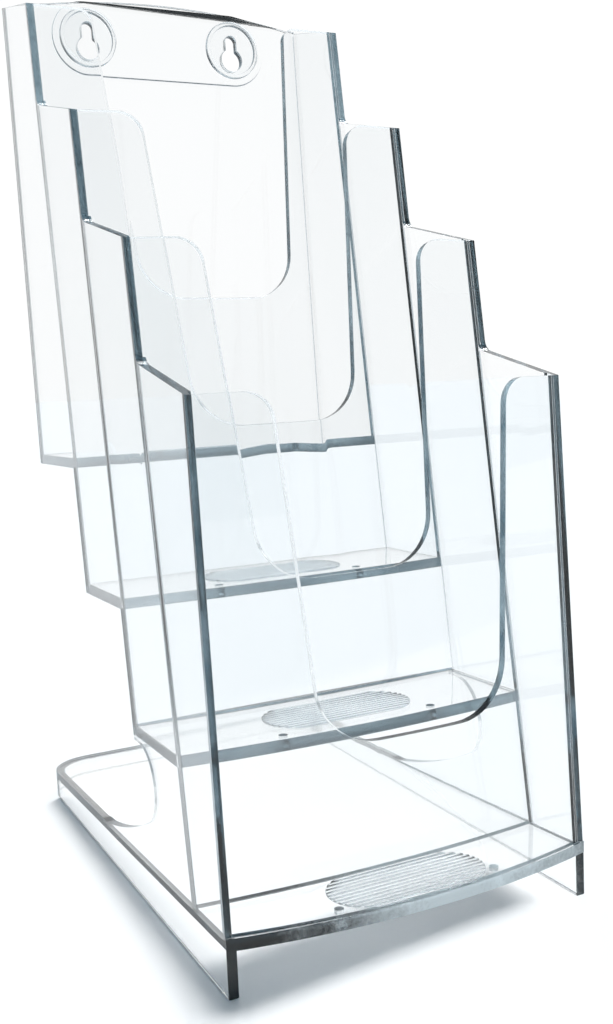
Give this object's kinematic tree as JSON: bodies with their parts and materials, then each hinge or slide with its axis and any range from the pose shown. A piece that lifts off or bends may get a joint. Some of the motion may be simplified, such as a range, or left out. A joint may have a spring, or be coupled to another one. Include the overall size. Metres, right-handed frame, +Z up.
{
  "type": "leaflet rack",
  "caption": "Stepped leaflet rack in clear plastic: sloping pockets with U cut-outs, a bowed front panel, keyholes in the rear panel and a low base.",
  "frame": {"origin": "centre of the bounding box on the surface the rack stands on", "axes": "+Z up, the bowed front panel faces -Y, X runs across the width"},
  "size_m": [0.11, 0.182, 0.282],
  "materials": {
    "clear_wall": "clear, polished",
    "clear_panel": "clear, polished",
    "clear_floor": "clear, polished",
    "clear_base": "clear, polished",
    "clear_detail": "clear, polished"
  },
  "bodies": {
    "root": {"side_wall_left": "clear_wall", "side_wall_right": "clear_wall", "rear_panel": "clear_panel", "divider_1": "clear_panel", "divider_2": "clear_panel", "divider_3": "clear_panel", "front_panel": "clear_panel", "floor_1": "clear_floor", "floor_2": "clear_floor", "floor_3": "clear_floor", "base_plate": "clear_base", "skirt_left": "clear_base", "skirt_right": "clear_base", "skirt_rear": "clear_base", "keyhole_boss_left": "clear_detail", "keyhole_boss_right": "clear_detail", "rib_pad_1": "clear_detail", "rib_pad_2": "clear_detail", "rib_pad_3": "clear_detail", "rib_pad_base": "clear_detail"}
  },
  "joints": []
}
